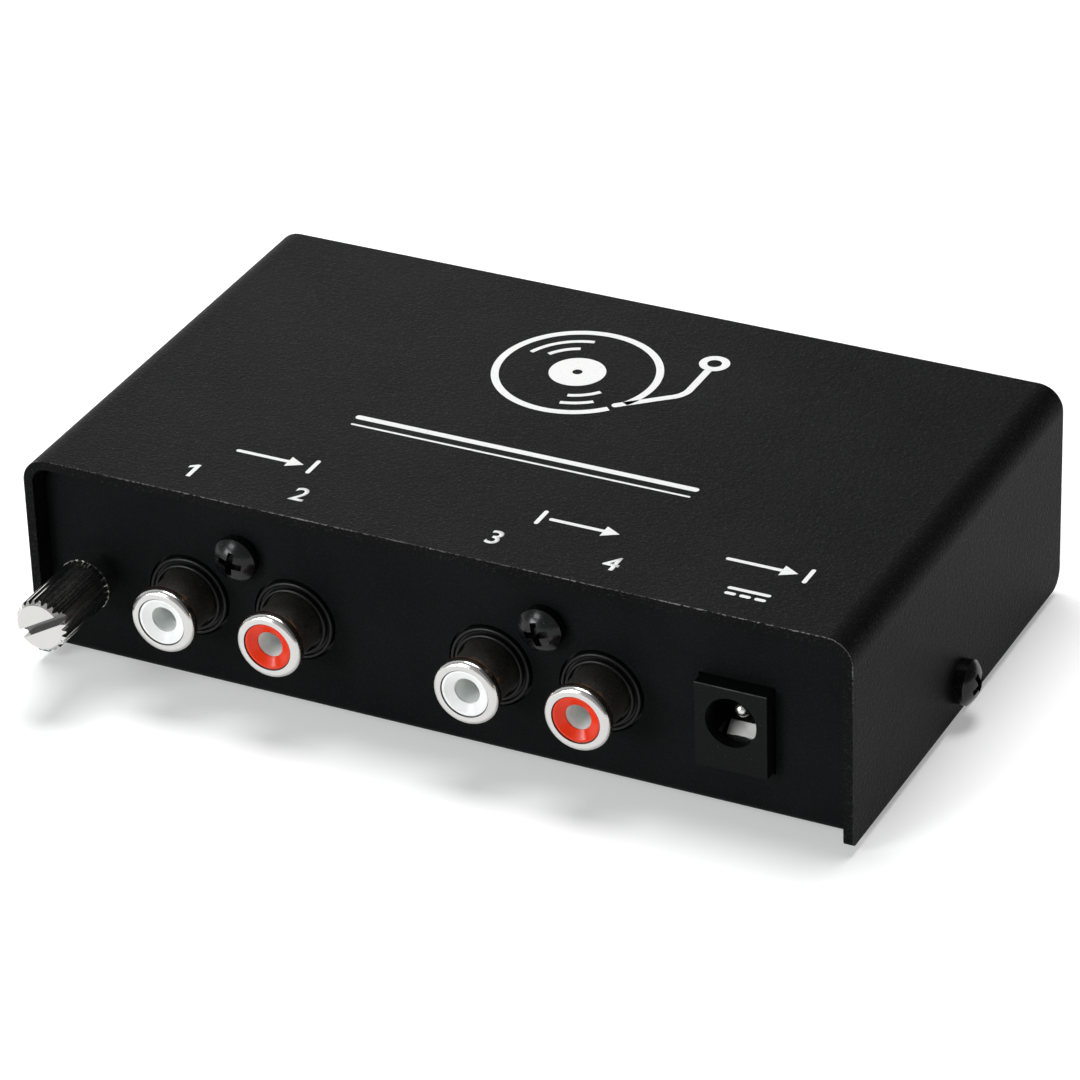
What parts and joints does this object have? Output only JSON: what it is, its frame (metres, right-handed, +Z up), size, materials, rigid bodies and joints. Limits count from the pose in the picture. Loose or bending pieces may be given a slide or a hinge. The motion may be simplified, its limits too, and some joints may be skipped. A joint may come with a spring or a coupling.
{
  "type": "phono preamp",
  "caption": "Small black sheet-metal phono preamp: recessed connector panel with paired phono jacks, round DC inlet and knurled ground thumb screw, circuit board inside.",
  "frame": {"origin": "middle of the bounding box's footprint, on the surface the rubber feet stand on", "axes": "+X across the box to the right as seen from the connector side, +Y from the connector side to the back, +Z up"},
  "size_m": [0.112, 0.075, 0.0284],
  "materials": {
    "black_powder_coat": "fine textured powder coat",
    "panel_black": "satin black paint",
    "black_screw": "glossy black oxide",
    "foot_rubber": "matte",
    "black_housing": "glossy",
    "inlet_plastic": "satin",
    "bright_nickel": "polished",
    "tinned_metal": "satin tin plate",
    "white_insulator": "satin",
    "red_insulator": "satin",
    "zinc_plate": "bright zinc",
    "board_laminate": "green solder resist",
    "chip_epoxy": "matte",
    "can_sleeve": "shrink sleeve",
    "film_box": "satin",
    "ceramic_disc": "dipped",
    "resistor_body": "lacquered",
    "wire_cover": "satin"
  },
  "bodies": {
    "box": {"cover": "black_powder_coat", "base_tray": "panel_black", "cover_screws": "black_screw", "rubber_feet": "foot_rubber", "input_jack_housing": "black_housing", "output_jack_housing": "black_housing", "input_left_sleeve": "bright_nickel", "input_right_sleeve": "bright_nickel", "output_left_sleeve": "bright_nickel", "output_right_sleeve": "bright_nickel", "input_left_insulator": "white_insulator", "input_right_insulator": "red_insulator", "output_left_insulator": "white_insulator", "output_right_insulator": "red_insulator", "input_left_contact": "tinned_metal", "input_right_contact": "tinned_metal", "output_left_contact": "tinned_metal", "output_right_contact": "tinned_metal", "jack_screws": "black_screw", "inlet_housing": "inlet_plastic", "inlet_pin": "bright_nickel", "inlet_spring_tag": "bright_nickel", "inlet_switch_contact": "tinned_metal", "ground_post": "bright_nickel", "ground_lock_washer": "zinc_plate", "ground_ring_tag": "tinned_metal", "ground_nut": "zinc_plate", "ground_wire": "wire_cover", "circuit_board": "board_laminate", "board_spacers": "zinc_plate", "board_screws": "zinc_plate", "first_stage_op_amp": "chip_epoxy", "second_stage_op_amp": "chip_epoxy", "voltage_regulator": "chip_epoxy", "supply_diode": "chip_epoxy", "reservoir_capacitor": "can_sleeve", "coupling_capacitors": "can_sleeve", "film_capacitors": "film_box", "input_load_capacitors": "ceramic_disc", "resistors": "resistor_body"},
    "clamp_washer": {"ground_clamp_washer": "bright_nickel"},
    "thumb_screw": {"ground_thumb_screw": "bright_nickel"},
    "inlet_leaf": {"inlet_spring": "bright_nickel"}
  },
  "joints": [
    {"name": "ground_clamp_open", "type": "slide", "parent": "box", "child": "clamp_washer", "axis": [0, -1, 0], "range_m": [0, 0.0035]},
    {"name": "thumb_screw_turn", "type": "hinge", "parent": "clamp_washer", "child": "thumb_screw", "pos_m": [-0.0458, -0.0262, 0.0128], "axis": [0, -1, 0], "range_deg": [0, 2521]},
    {"name": "inlet_leaf_bend", "type": "hinge", "parent": "box", "child": "inlet_leaf", "pos_m": [0.0382, -0.01665, 0.0092], "axis": [1, 0, 0], "range_deg": [0, 8], "stiffness_Nm_per_rad": 0.05}
  ],
  "couplings": [
    {"joint": "thumb_screw_turn", "follows": "ground_clamp_open", "rad_per_m": 12566}
  ]
}
